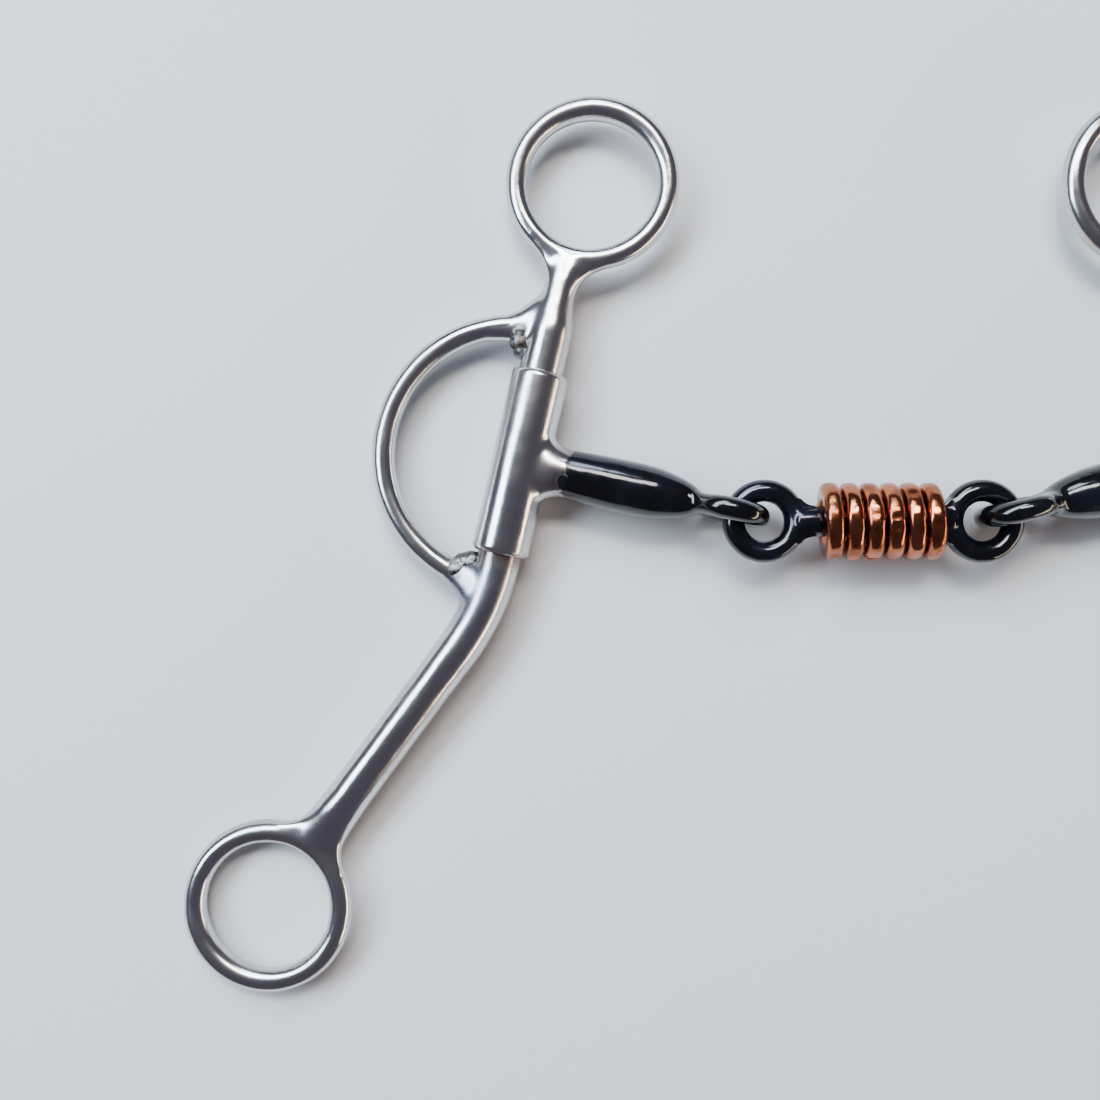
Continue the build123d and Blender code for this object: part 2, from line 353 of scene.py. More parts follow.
def flattened_end(length, run, half, wire_half):
    """Stations of a bar forged thinner and a little wider over its last run, down to a ring's bar."""
    thin = half - wire_half
    return [
        (length - run, half, half), (length - 0.62 * run, half - 0.22 * thin, half + 0.02 * run),
        (length - 0.34 * run, half - 0.6 * thin, half + 0.05 * run),
        (length - 0.14 * run, half - 0.88 * thin, half + 0.09 * run),
        (length + 0.1 * wire_half, wire_half * 0.93, half + 0.12 * run),
    ]


def bent_bar(radius, wire, start, sweep, steps=96, segments=40):
    """Round bar bent about Z: a disc spun from start through sweep degrees."""
    clear()
    turn = math.radians(start)
    disc_at = (radius * math.cos(turn), radius * math.sin(turn), 0)
    bpy.ops.mesh.primitive_circle_add(
        vertices=segments, radius=wire / 2, fill_type="NGON", location=disc_at,
        rotation=(math.pi / 2, 0, turn))
    bar = bake_place(bpy.context.object)
    edit_all(bar)
    bpy.ops.mesh.spin(steps=steps, angle=-math.radians(sweep), center=(0, 0, 0), axis=(0, 0, 1))
    return tidy_normals(bar)


def closed_ring(radius, wire, major=120, minor=40):
    """Closed ring of round bar about Z."""
    clear()
    bpy.ops.mesh.primitive_torus_add(
        major_radius=radius, minor_radius=wire / 2, major_segments=major, minor_segments=minor)
    return bpy.context.object


def place(obj, where=(0, 0, 0), turn=None):
    """Turns, then moves a piece in its part's frame, and keeps the place in its mesh."""
    obj.matrix_world = Matrix.Translation(where) @ (turn or Matrix.Identity(4))
    return bake_place(obj)


def along(direction):
    """The turn that lays +Z along a direction, keeping the part's own Z across it."""
    z_axis = Vector(direction).normalized()
    x_axis = Vector((0, 0, 1)) if abs(z_axis.z) < 0.9 else Vector((1, 0, 0))
    x_axis = (x_axis - x_axis.dot(z_axis) * z_axis).normalized()
    return Matrix((x_axis, z_axis.cross(x_axis), z_axis)).transposed().to_4x4()


def carve(obj, *tools):
    """Cuts the tools out of a piece and removes them."""
    for tool in tools:
        modifier(obj, "BOOLEAN", operation="DIFFERENCE", solver="EXACT", object=tool)
        bpy.data.objects.remove(tool)


def web(radius, wire, bar_width, flare):
    """Web with concave sides between a ring about Z and a bar that leaves it along +X."""
    thickness = wire * WEB_SHARE
    rim, half = radius + wire / 2, bar_width / 2
    turn = math.asin((half + flare) / (rim + flare))
    reach = (rim + flare) * math.cos(turn)
    clear()
    bpy.ops.mesh.primitive_cube_add(
        size=1, location=(reach / 2, 0, 0), scale=(reach, 2 * rim * math.sin(turn), thickness))
    plate = bake_place(bpy.context.object)
    tools = []
    for x, y, r in ((reach, half + flare, flare), (reach, -half - flare, flare), (0, 0, radius)):
        bpy.ops.mesh.primitive_cylinder_add(
            vertices=96, radius=r, depth=4 * thickness, location=(x, y, 0))
        tools.append(bpy.context.object)
    carve(plate, *tools)
    return modifier(plate, "BEVEL", width=thickness * 0.3, segments=3, limit_method="ANGLE")


def fuse(name, parts, voxel, zones, even=0):
    """One skin over overlapping parts, true to them except in zones, which are smoothed.

    A zone is (centre, radius, rounds). even smooths the whole skin a few rounds at the end."""
    choose(*parts)
    bpy.ops.object.join()
    skin = bpy.context.object
    skin.name = skin.data.name = name
    bpy.ops.object.duplicate()
    guide = bpy.context.object
    modifier(skin, "REMESH", mode="VOXEL", voxel_size=voxel)
    keep = skin.vertex_groups.new(name="keep")
    keep.add(range(len(skin.data.vertices)), 1.0, "REPLACE")
    for number, (centre, radius, _) in enumerate(zones):
        group = skin.vertex_groups.new(name=f"blend_{number}")
        for vertex in skin.data.vertices:
            share = 1 - (vertex.co - Vector(centre)).length / radius
            if share > 0:
                weight = min(1.0, 2 * share)
                group.add([vertex.index], weight * weight * (3 - 2 * weight), "REPLACE")
                keep.add([vertex.index], 0.0 if share > 0.25 else 1.0, "REPLACE")
    modifier(skin, "SHRINKWRAP", target=guide, wrap_method="NEAREST_SURFACEPOINT", vertex_group="keep")
    bpy.data.objects.remove(guide)
    for number, (_, _, rounds) in enumerate(zones):
        modifier(skin, "SMOOTH", factor=0.5, iterations=rounds, vertex_group=f"blend_{number}")
    if even:
        modifier(skin, "SMOOTH", factor=0.5, iterations=even)
    skin.vertex_groups.clear()
    return skin


def slice_off(obj, point, normal):
    """Cuts away what lies beyond a plane and closes the cut."""
    edit_all(obj)
    bpy.ops.mesh.bisect(
        plane_co=point, plane_no=normal, use_fill=True, clear_outer=True, threshold=0.0001)
    bpy.ops.object.mode_set(mode="OBJECT")


def roughen(obj, name, grain, depth, seed_shift=0.0):
    """Moves the surface in and out by up to about depth, with lumps about grain across."""
    texture = bpy.data.textures.new(name, "CLOUDS")
    texture.noise_scale = grain
    texture.noise_depth = 2
    bpy.context.view_layer.update()
    obj.data.transform(Matrix.Translation((seed_shift, 0, 0)))
    modifier(obj, "DISPLACE", texture=texture, texture_coords="LOCAL", strength=2 * depth, mid_level=0.5)
    obj.data.transform(Matrix.Translation((-seed_shift, 0, 0)))


def dent(obj, spot, reach, push):
    """Pushes the surface at a spot, fading out over reach."""
    spot, push = Vector(spot), Vector(push)
    for vertex in obj.data.vertices:
        share = 1 - (vertex.co - spot).length / reach
        if share > 0:
            vertex.co += push * share * share * (3 - 2 * share)


def flatten_faces(ring, radius, half):
    """Fills out a round wire a little towards a square one, worn flat against its neighbours."""
    squareness = 2.8
    for vertex in ring.data.vertices:
        rim = Vector((vertex.co.x, vertex.co.y, 0)).normalized() * radius
        offset = (vertex.co - rim) / half
        across = abs(offset.dot(rim) / radius) ** squareness + abs(offset.z) ** squareness
        if across > 0.01:
            vertex.co = rim + offset * half * across ** (-1 / squareness)


def soften_end(ring, radius, turn):
    """Draws in the end of a bent wire, so that its cut edge is rounded."""
    end = Vector((math.cos(math.radians(turn)), math.sin(math.radians(turn)), 0)) * radius
    for vertex in ring.data.vertices:
        near = 1 - math.degrees((vertex.co * Vector((1, 1, 0))).angle(end, 0)) / 5
        if near > 0:
            vertex.co += (end - vertex.co) * 0.3 * near * near


# ---------------------------------------------------------------- finishes

# Second tones of each finish.
HAZED_STEEL = (0.50, 0.475, 0.46, 1)
STREAKED_STEEL = (0.36, 0.33, 0.31, 1)
# darker tone of the filed place at the lower weld: a painted shade that dims the window's reflection there
FILED_SHADED_STEEL = (0.34, 0.35, 0.385, 1)
HEATED_STEEL = (0.30, 0.215, 0.21, 1)
# lighter tone on the crowns of the weld's lumps: a painted highlight
PAINTED_HIGHLIGHT_WELD = (0.30, 0.30, 0.29, 1)
STRAW_WELD = (0.22, 0.16, 0.12, 1)
PITTED_WELD = (0.03, 0.026, 0.024, 1)
BLUE_OXIDE = (0.006, 0.009, 0.018, 1)
BROWN_OXIDE = (0.018, 0.011, 0.008, 1)
TARNISHED_COPPER = (0.25, 0.07, 0.03, 1)
SPOTTED_COPPER = (0.12, 0.03, 0.018, 1)

# How closely the polishing scratches repeat along each axis, per metre.
SCRATCH_GRAIN = (9000, 1400, 5000)


def node(tree, kind, settings=None, **inputs):
    """Adds a shader node; each input, by name or as i and its number, is a value or a socket to link."""
    made = tree.nodes.new(kind)
    for key, value in (settings or {}).items():
        setattr(made, key, value)
    for key, value in inputs.items():
        numbered = key[0] == "i" and key[1:].isdigit()
        socket = made.inputs[int(key[1:]) if numbered else key.replace("_", " ")]
        if isinstance(value, bpy.types.NodeSocket):
            tree.links.new(value, socket)
        else:
            socket.default_value = value
    return made


def ramp(tree, factor, low, high, low_value=0.0, high_value=1.0):
    """Maps a factor from low..high to low_value..high_value, smoothly and clamped."""
    made = node(
        tree, "ShaderNodeMapRange", {"interpolation_type": "SMOOTHSTEP"},
        Value=factor, From_Min=low, From_Max=high, To_Min=low_value, To_Max=high_value)
    return made.outputs[0]


def noise(tree, where, scale, detail=3.0, rough=0.5):
    """Value of a noise pattern with scale features per metre."""
    made = node(
        tree, "ShaderNodeTexNoise", None, Vector=where, Scale=scale, Detail=detail, Roughness=rough)
    return made.outputs[0]


def mix(tree, factor, first, second):
    """Colour from first to second by a factor."""
    made = node(tree, "ShaderNodeMix", {"data_type": "RGBA"}, i0=factor, i6=first, i7=second)
    return made.outputs[2]


def wander(tree, pattern, reach, value):
    """A value moved by a pattern times a reach."""
    made = node(tree, "ShaderNodeMath", {"operation": "MULTIPLY_ADD"}, i0=pattern, i1=reach, i2=value)
    return made.outputs[0]


def height_along(tree, where, origin, direction):
    """Distance in millimetres from origin along a direction."""
    offset = node(tree, "ShaderNodeVectorMath", {"operation": "SUBTRACT"}, i0=where, i1=origin)
    made = node(
        tree, "ShaderNodeVectorMath", {"operation": "DOT_PRODUCT"}, i0=offset.outputs[0], i1=direction / MM)
    return made.outputs[1]


def start_material(name):
    """A new material with its tree, its shader and the object coordinates."""
    material = bpy.data.materials.new(name)
    material.use_nodes = True
    tree = material.node_tree
    shader = tree.nodes["Principled BSDF"]
    where = node(tree, "ShaderNodeTexCoord").outputs["Object"]
    return material, tree, shader, where


def bump(tree, shader, strength, depth, *heights):
    """Adds relief from several height patterns, each a (socket, share)."""
    total = None
    for socket, share in heights:
        scaled = node(tree, "ShaderNodeMath", {"operation": "MULTIPLY"}, i0=socket, i1=share).outputs[0]
        if total:
            total = node(tree, "ShaderNodeMath", {"operation": "ADD"}, i0=total, i1=scaled).outputs[0]
        else:
            total = scaled
    relief = node(tree, "ShaderNodeBump", None, Strength=strength, Distance=depth, Height=total)
    tree.links.new(relief.outputs[0], shader.inputs["Normal"])


def polished_steel(name, stain=None, iron=None, ground=None):
    """Hand-polished stainless steel with fine scratches, haze and optional stains.

    A stain is (frame, start, end, share), running down the post; iron is (frame, start), inwards;
    the filed place is (place, reach): a file has left it duller and rougher, and its tone is darkened
    there as a painted shade that dims the window's reflection."""
    material, tree, shader, where = start_material(name)
    haze = noise(tree, where, 90, 5)
    streaks = noise(tree, where, 420, 6, 0.65)
    drawn_out = node(tree, "ShaderNodeMapping", None, Vector=where, Scale=SCRATCH_GRAIN).outputs[0]
    scratches = noise(tree, drawn_out, 1, 2)
    tone = mix(tree, ramp(tree, haze, 0.35, 0.7), colour("steel"), HAZED_STEEL)
    tone = mix(tree, ramp(tree, streaks, 0.62, 0.8, 0, 0.45), tone, STREAKED_STEEL)
    rough = ramp(tree, haze, 0.3, 0.75, 0.15, 0.26)
    metal = None
    if stain:
        lay, start, end, share = stain
        down = (lay.to_3x3() @ Vector((0, -1, 0))).normalized()
        level = height_along(tree, where, lay.translation, down)
        ragged = wander(tree, noise(tree, where, 700, 4), 2.6, level)
        fade = ramp(tree, ragged, end, end + 3.0, share, 0)
        below = ramp(tree, ragged, start + 1.5, start + 2.6, 0, 1)
        stained = node(tree, "ShaderNodeMath", {"operation": "MULTIPLY"}, i0=below, i1=fade).outputs[0]
        tone = mix(tree, stained, tone, colour("rust"))
        rough = wander(tree, stained, 0.05, rough)
        metal = wander(tree, stained, -0.15, 1.0)
    if ground:
        spot, reach = ground
        away = node(tree, "ShaderNodeVectorMath", {"operation": "DISTANCE"}, i0=where, i1=spot)
        # the filed place is rougher from the file, and its tone is also darkened there as a painted shade
        dull = ramp(tree, away.outputs[1], reach * 0.35 * MM, reach * MM, 1, 0)
        rough = wander(tree, dull, 0.07, rough)
        tone = mix(tree, dull, tone, FILED_SHADED_STEEL)
    if iron:
        lay, start = iron
        inwards = (lay.to_3x3() @ Vector((1, 0, 0))).normalized()
        reach = height_along(tree, where, lay.translation, inwards)
        ragged = wander(tree, noise(tree, where, 300, 5), 6.5, reach)
        tint = ramp(tree, ragged, start - 1.6, start + 2.0, 0, 0.6)
        tone = mix(tree, tint, tone, HEATED_STEEL)
        covered = ramp(tree, ragged, start + 2.3, start + 2.42)
        tone = mix(tree, covered, tone, colour("iron"))
        metal = node(tree, "ShaderNodeMath", {"operation": "SUBTRACT"}, i0=metal, i1=covered).outputs[0]
    tree.links.new(tone, shader.inputs["Base Color"])
    tree.links.new(rough, shader.inputs["Roughness"])
    if metal:
        tree.links.new(metal, shader.inputs["Metallic"])
    else:
        shader.inputs["Metallic"].default_value = 1.0
    waves = noise(tree, where, 160, 2)
    bump(tree, shader, 0.35, 0.00006, (scratches, 0.5), (streaks, 0.5), (waves, 1.6))
    return material


def weld_steel(name):
    """Weld metal: grey, rough and pitted, with straw and blue heat tints and painted highlights on its
    lumps.
    """
    material, tree, shader, where = start_material(name)
    lumps = noise(tree, where, 420, 5)
    pits = noise(tree, where, 1050, 3, 0.6)
    tint = noise(tree, where, 260, 2)
    # painted highlight: the lump crowns that the bump raises are given a lighter tone
    tone = mix(tree, ramp(tree, lumps, 0.4, 0.7), colour("weld"), PAINTED_HIGHLIGHT_WELD)
    tone = mix(tree, ramp(tree, tint, 0.55, 0.7, 0, 0.6), tone, STRAW_WELD)
    tone = mix(tree, ramp(tree, pits, 0.53, 0.62), tone, PITTED_WELD)
    tree.links.new(tone, shader.inputs["Base Color"])
    tree.links.new(ramp(tree, lumps, 0.3, 0.7, 0.34, 0.55), shader.inputs["Roughness"])
    shader.inputs["Metallic"].default_value = 1.0
    bump(tree, shader, 0.6, 0.00018, (lumps, 0.8), (pits, -0.9))
    return material


def blued_iron(name):
    """Sweet iron under a glossy blue-black oxide, worn thinner in places."""
    material, tree, shader, where = start_material(name)
    cloud = noise(tree, where, 120, 4)
    grain = noise(tree, where, 900, 4, 0.6)
    scale_marks = noise(tree, where, 330, 3)
    tone = mix(tree, ramp(tree, cloud, 0.4, 0.65), colour("iron"), BLUE_OXIDE)
    tone = mix(tree, ramp(tree, scale_marks, 0.62, 0.75, 0, 0.8), tone, BROWN_OXIDE)
    tree.links.new(tone, shader.inputs["Base Color"])
    tree.links.new(ramp(tree, cloud, 0.3, 0.7, 0.12, 0.26), shader.inputs["Roughness"])
    shader.inputs["Metallic"].default_value = 0.6
    shader.inputs["Coat Weight"].default_value = 0.7
    shader.inputs["Coat Roughness"].default_value = 0.07
    bump(tree, shader, 0.4, 0.0001, (grain, 0.3), (scale_marks, 0.9))
    return material


def copper(name):
    """Copper wire: bright where it rubs, darker and browner where it has tarnished."""
    material, tree, shader, where = start_material(name)
    cloud = noise(tree, where, 260, 4)
    spots = noise(tree, where, 1300, 3, 0.6)
    tone = mix(tree, ramp(tree, cloud, 0.38, 0.68), colour("copper"), TARNISHED_COPPER)
    tone = mix(tree, ramp(tree, spots, 0.62, 0.74, 0, 0.7), tone, SPOTTED_COPPER)
    tree.links.new(tone, shader.inputs["Base Color"])
    tree.links.new(ramp(tree, cloud, 0.3, 0.7, 0.12, 0.25), shader.inputs["Roughness"])
    shader.inputs["Metallic"].default_value = 1.0
    bump(tree, shader, 0.5, 0.00012, (spots, 0.5), (cloud, 0.7))
    return material


FINISHES = {}


def finish_of(key, make, **details):
    """The material of this name, made once."""
    if key not in FINISHES:
        FINISHES[key] = make(key, **details)
    return FINISHES[key]


# ---------------------------------------------------------------- laying pieces into the row

def settle(obj, matrix, name, nodes, body, material):
    """Lays a finished piece into the row and ties it to its body, nodes and slot."""
    obj.data.transform(matrix)
    obj.name = obj.data.name = name
    obj.data.materials.clear()
    obj.data.materials.append(material)
    choose(obj)
    bpy.ops.object.shade_smooth_by_angle(angle=CREASE_ANGLE)
    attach(obj, body)
    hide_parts(*nodes)


def cheek_steel(side):
    """Steel of a cheek's forging, stained where the sleeve rubs it and filed at the lower weld, with a
    painted shade darkening the filed place.
    """
    lay = side_frame(CHEEK, side)
    foot = size("sleeve_length") / 2
    stain = (lay, foot - 2.6, foot + 1.8, 0.75)
    ground = (lay @ Vector((-4.5, -26, 3)), 9.5)
    return finish_of(f"{side}_cheek_steel", polished_steel, stain=stain, ground=ground)


def ring_steel(side):
    """Steel of the bent rings and bows, the same on either side."""
    return finish_of("ring_steel", polished_steel)


def sleeve_steel(side):
    """Steel of a sleeve, stained at its foot and where it meets the iron."""
    lay = side_frame(ARM, side)
    foot = size("sleeve_length") / 2 - 1.6
    stain = (lay, foot, foot + 20, 0.5)
    return finish_of(f"{side}_sleeve_steel", polished_steel, stain=stain, iron=(lay, STUB_REACH))


def both_sides(obj, matrix, name, node_name, part, material):
    """Lays a left piece and its mirror image into the row."""
    choose(obj)
    bpy.ops.object.duplicate()
    twin = bpy.context.object
    twin.data.transform(side_frame(matrix, "right"))
    edit_all(twin)
    bpy.ops.mesh.normals_make_consistent(inside=False)
    clear()
    for piece, lay, side in ((obj, matrix, "left"), (twin, Matrix.Identity(4), "right")):
        settle(
            piece, lay, f"{side}_{name}", [f"{side}_{node_name}"], f"{side}_{part}", material(side))


# ---------------------------------------------------------------- pieces

class SNAFFLE_OT_shanks(bpy.types.Operator):
    """Forge the post, bend and lower shank in one bar, with a fork into each ring"""

    bl_idname = "snaffle.shanks"
    bl_label = "Shanks"

    def execute(self, context):
        post, neck, shank = size("post_dia"), size("neck_dia"), size("shank_dia")
        head_radius, rein_radius = ring_radius("head"), ring_radius("rein")
        head_end = HEAD_CENTRE - head_radius * HEAD_LINE
        rein_end = REIN_CENTRE - rein_radius * SHANK_LINE
        upright = round_bar([
            (BEND_TOP, post), (15, post), (TAPER_HEAD, post), (TAPER_HEAD + 1, post - 0.12),
            (TAPER_HEAD + 3.4, post - 1.1), (TAPER_FOOT - 1.4, neck + 0.35), (TAPER_FOOT, neck),
        ])
        place(upright, turn=along((0, 1, 0)))
        curve = bent_bar(BEND_RADIUS, post, -BEND_ANGLE, BEND_ANGLE, steps=32, segments=48)
        place(curve, BEND_MIDDLE)
        lower_length = (rein_end - BEND_END).length
        between = (post + shank) / 4
        lower = drawn_bar(
            [(-0.5, post / 2, post / 2), (3, between, between), (8, shank / 2, shank / 2)]
            + flattened_end(lower_length, 13, shank / 2, size("rein_wire") / 2))
        place(lower, BEND_END, along(SHANK_LINE))
        throat_length = (head_end - NECK_START).length
        throat = drawn_bar(
            [(0, neck / 2, neck / 2)]
            + flattened_end(throat_length, throat_length - 0.5, neck / 2, size("head_wire") / 2))
        place(throat, NECK_START, along(HEAD_LINE))
        parts = [upright, curve, lower, throat]
        for centre, radius, wire, bar, towards in (
                (HEAD_CENTRE, head_radius, size("head_wire"), neck, -HEAD_LINE),
                (REIN_CENTRE, rein_radius, size("rein_wire"), shank, -SHANK_LINE)):
            heading = math.degrees(math.atan2(towards.y, towards.x))
            fork = web(radius, wire, bar, FLARE)
            place(fork, centre, Matrix.Rotation(math.radians(heading), 4, "Z"))
            sector = bent_bar(radius, wire, heading - SECTOR - 2, 2 * SECTOR + 4, steps=40)
            place(sector, centre)
            parts += [fork, sector]
        for start, sweep in ((BOW_START, 26), (BOW_START + BOW_SWEEP - 30, 30)):
            root = bent_bar(BOW_RADIUS, size("bow_wire"), start, sweep, steps=40)
            parts.append(place(root, BOW_MIDDLE))
        for fan_start, fan_end, stations in BOW_FANS:
            fan = drawn_bar(stations)
            parts.append(place(fan, fan_start, along(Vector(fan_end) - Vector(fan_start))))
        zones = [
            (head_end - 2 * HEAD_LINE, *RING_BLEND), (rein_end - 2 * SHANK_LINE, *RING_BLEND),
            (NECK_START, *NECK_BLEND), (BEND_END, *BEND_BLEND),
            (LOWER_ROOT, *LOWER_ROOT_BLEND), (UPPER_ROOT, *UPPER_ROOT_BLEND),
        ]
        forging = fuse("shank_forging", parts, STEEL_GRAIN, zones, even=1)
        roughen(forging, "shank_waves", *STEEL_WAVES)
        both_sides(forging, CHEEK, "shank_forging", "shank", "cheek", cheek_steel)
        return {"FINISHED"}


class SNAFFLE_OT_rings(bpy.types.Operator):
    """Bend the headstall and rein rings and open them onto their shank forks"""

    bl_idname = "snaffle.rings"
    bl_label = "Headstall and rein rings"

    def execute(self, context):
        for name, which, centre, out, swell in (
                ("headstall", "head", HEAD_CENTRE, HEAD_LINE, 0.15),
                ("rein", "rein", REIN_CENTRE, SHANK_LINE, 0.07)):
            radius, wire = ring_radius(which), size(which + "_wire")
            heading = math.degrees(math.atan2(-out.y, -out.x))
            hoop = bent_bar(radius, wire, heading + SECTOR, 360 - 2 * SECTOR, steps=150)
            # hammered a little thicker where the ring carries its strap
            far = out * radius
            for vertex in hoop.data.vertices:
                share = max(0.0, vertex.co.dot(far) / (radius * radius))
                on_line = Vector((vertex.co.x, vertex.co.y, 0)).normalized() * radius
                outer_skin = on_line.normalized() * wire / 2
                vertex.co += ((vertex.co - on_line) - outer_skin) * swell * share * share
            place(hoop, centre)
            roughen(hoop, name + "_hoop_waves", *STEEL_WAVES)
            both_sides(hoop, CHEEK, name + "_hoop", name + "_ring", "cheek", ring_steel)
        return {"FINISHED"}


class SNAFFLE_OT_bows(bpy.types.Operator):
    """Bend the snaffle bow of each cheek"""

    bl_idname = "snaffle.bows"
    bl_label = "Snaffle bows"

    def execute(self, context):
        bow = bent_bar(BOW_RADIUS, size("bow_wire"), BOW_START, BOW_SWEEP, steps=110)
        place(bow, BOW_MIDDLE)
        clear()
        bpy.ops.mesh.primitive_cylinder_add(
            vertices=96, radius=size("post_dia") / 2 - 0.05, depth=90, rotation=(math.pi / 2, 0, 0))
        carve(bow, bpy.context.object)
        roughen(bow, "bow_waves", *STEEL_WAVES)
        both_sides(bow, CHEEK, "bow_bar", "bow", "cheek", ring_steel)
        return {"FINISHED"}


class SNAFFLE_OT_welds(bpy.types.Operator):
    """Lay the lumpy weld beads that hold each bow to its post"""

    bl_idname = "snaffle.welds"
    bl_label = "Weld beads"

    def execute(self, context):
        edge = size("post_dia") / 2
        lower = -size("sleeve_length") / 2 - WELD_GAP
        crown = BOW_UP + BOW_RADIUS
        # each lobe is (out, up, lift, diameter)
        beads = {
            "upper": [
                (edge + 1.3, crown - 1.3, 0.0, 5.5), (edge + 0.7, crown - 3.0, 0.0, 5.0),
                (edge + 0.1, crown - 4.7, 0.0, 3.9),
            ],
            "lower": [
                (edge + 0.7, lower - 2.1, 0.0, 4.4), (edge + 2.3, lower - 2.8, 0.0, 4.2),
                (edge + 3.2, lower - 4.3, 0.3, 4.7),
            ],
        }
        for name, lobes in beads.items():
            blobs = []
            for out, up, lift, dia in lobes:
                clear()
                bpy.ops.mesh.primitive_uv_sphere_add(
                    segments=40, ring_count=20, radius=dia / 2, location=(-out, up, lift))
                blobs.append(bake_place(bpy.context.object))
            middle = Vector((-edge - 1.5, lobes[0][1], 0))
            bead = fuse(name + "_bead", blobs, BEAD_GRAIN, [(middle, *BEAD_BLEND)], even=12)
            roughen(bead, name + "_lumps", 1.9, 0.22, seed_shift=lobes[0][1])
            roughen(bead, name + "_ripples", 0.7, 0.05, seed_shift=lobes[0][1])
            modifier(bead, "SMOOTH", factor=0.5, iterations=3)
            if name == "lower":
                slice_off(bead, (0, lower - 0.08, 0), (0, 1, 0))
            both_sides(bead, CHEEK, name + "_bead", name + "_bow_weld", "cheek",
                       lambda side: finish_of("weld_steel", weld_steel))
        return {"FINISHED"}


class SNAFFLE_OT_sleeves(bpy.types.Operator):
    """Turn the sleeve of each arm, with its stub flowing into the tube"""

    bl_idname = "snaffle.sleeves"
    bl_label = "Sleeves"

    def execute(self, context):
        outside, length, bore = size("sleeve_dia"), size("sleeve_length"), size("bore_dia")
        half = length / 2
        tube = round_bar([
            (-half, outside - 1.5), (-half + 0.28, outside - 0.62), (-half + 0.9, outside),
            (half - 0.9, outside), (half - 0.28, outside - 0.62), (half, outside - 1.5),
        ], segments=72)
        place(tube, turn=along((0, 1, 0)))
        thick = STUB_DIA / 2
        stub = drawn_bar([
            (1, thick - 0.2, thick + 3.4), (outside / 2 - 1.2, thick, thick + 2.5),
            (outside / 2 + 0.6, thick, thick + 1.1), (outside / 2 + 2.4, thick, thick + 0.3),
            (STUB_REACH, thick, thick), (STUB_REACH + 2, thick, thick),
        ], segments=72)
        place(stub, turn=along((1, 0, 0)))
        zones = [((outside / 2 - 1.2, 0, 0), *STUB_BLEND)]
        tee = fuse("sleeve_tee", [tube, stub], STEEL_GRAIN, zones, even=1)
        slice_off(tee, (STUB_REACH, 0, 0), (1, 0, 0))
        roughen(tee, "sleeve_waves", 8.0, 0.05)
        clear()
        bpy.ops.mesh.primitive_cylinder_add(
            vertices=96, radius=bore / 2, depth=2 * length, rotation=(math.pi / 2, 0, 0))
        carve(tee, bpy.context.object)
        both_sides(tee, ARM, "sleeve_tee", "sleeve", "arm", sleeve_steel)
        return {"FINISHED"}


class SNAFFLE_OT_cannons(bpy.types.Operator):
    """Forge the swelling iron cannons, drawn down to an upright eye"""

    bl_idname = "snaffle.cannons"
    bl_label = "Cannons"

    def execute(self, context):
        wire = size("eye_wire")
        radius = (size("eye_dia") - wire) / 2
        # each station is (reach, half height, half width)
        stations = [
            (STUB_REACH - 1.5, 4.68, 4.68), (STUB_REACH + 2.2, 4.86, 4.86), (16, 5.06, 5.06),
            (20, 5.2, 5.2), (24, 5.24, 5.2), (27, 5.08, 5.0), (30, 4.6, 4.5), (32.5, 4.0, 3.85),
            (34.4, 3.4, 3.1), (ARM_REACH - radius, 2.9, 2.5),
        ]
        barrel = drawn_bar(stations, segments=56)
        place(barrel, turn=along((1, 0, 0)))
        upright = Matrix.Rotation(math.pi / 2, 4, "X")
        eye = closed_ring(radius, wire, major=110, minor=36)
        place(eye, (ARM_REACH, 0, 0), upright)
        fork = web(radius, wire, 5.6, 5.0)
        place(fork, (ARM_REACH, 0, 0), upright @ Matrix.Rotation(math.pi, 4, "Z"))
        zones = [
            ((ARM_REACH - radius - 1.6, 0, 0), *CANNON_NECK_BLEND), (CANNON_BELLY, *CANNON_BELLY_BLEND)]
        cannon = fuse("cannon_iron", [barrel, eye, fork], IRON_GRAIN, zones, even=1)
        roughen(cannon, "cannon_waves", 7.0, 0.07)
        slice_off(cannon, (STUB_REACH, 0, 0), (-1, 0, 0))
        both_sides(cannon, ARM, "cannon_iron", "cannon", "arm",
                   lambda side: finish_of("blued_iron", blued_iron))
        return {"FINISHED"}


class SNAFFLE_OT_dog_bone(bpy.types.Operator):
    """Forge the middle link: a short bar with a flat eye at each end"""

    bl_idname = "snaffle.dog_bone"
    bl_label = "Middle link"

    def execute(self, context):
        wire = size("eye_wire")
        radius = (size("eye_dia") - wire) / 2
        half = LINK_HALF - size("eye_dia") / 2
        reach = half - radius
        bar = drawn_bar([(-reach, 3.0, 2.6), (-reach + 3, 3, 3), (reach - 3, 3, 3), (reach, 3.0, 2.6)])
        place(bar, turn=along((1, 0, 0)))
        parts = [bar]
        zones = []
        for side in (-1, 1):
            eye = closed_ring(radius, wire, major=110, minor=36)
            place(eye, (side * half, 0, 0))
            fork = web(radius, wire, 6.0, 3.2)
            place(fork, (side * half, 0, 0), Matrix.Rotation(math.pi if side > 0 else 0, 4, "Z"))
            parts += [eye, fork]
            zones.append(((side * (reach + 0.6), 0, 0), *LINK_NECK_BLEND))
        bone = fuse("dog_bone", parts, IRON_GRAIN, zones, even=1)
        roughen(bone, "link_waves", 5.0, 0.09, seed_shift=13)
        material = finish_of("blued_iron", blued_iron)
        settle(bone, LINK, "dog_bone", ["center_link"], "link", material)
        return {"FINISHED"}


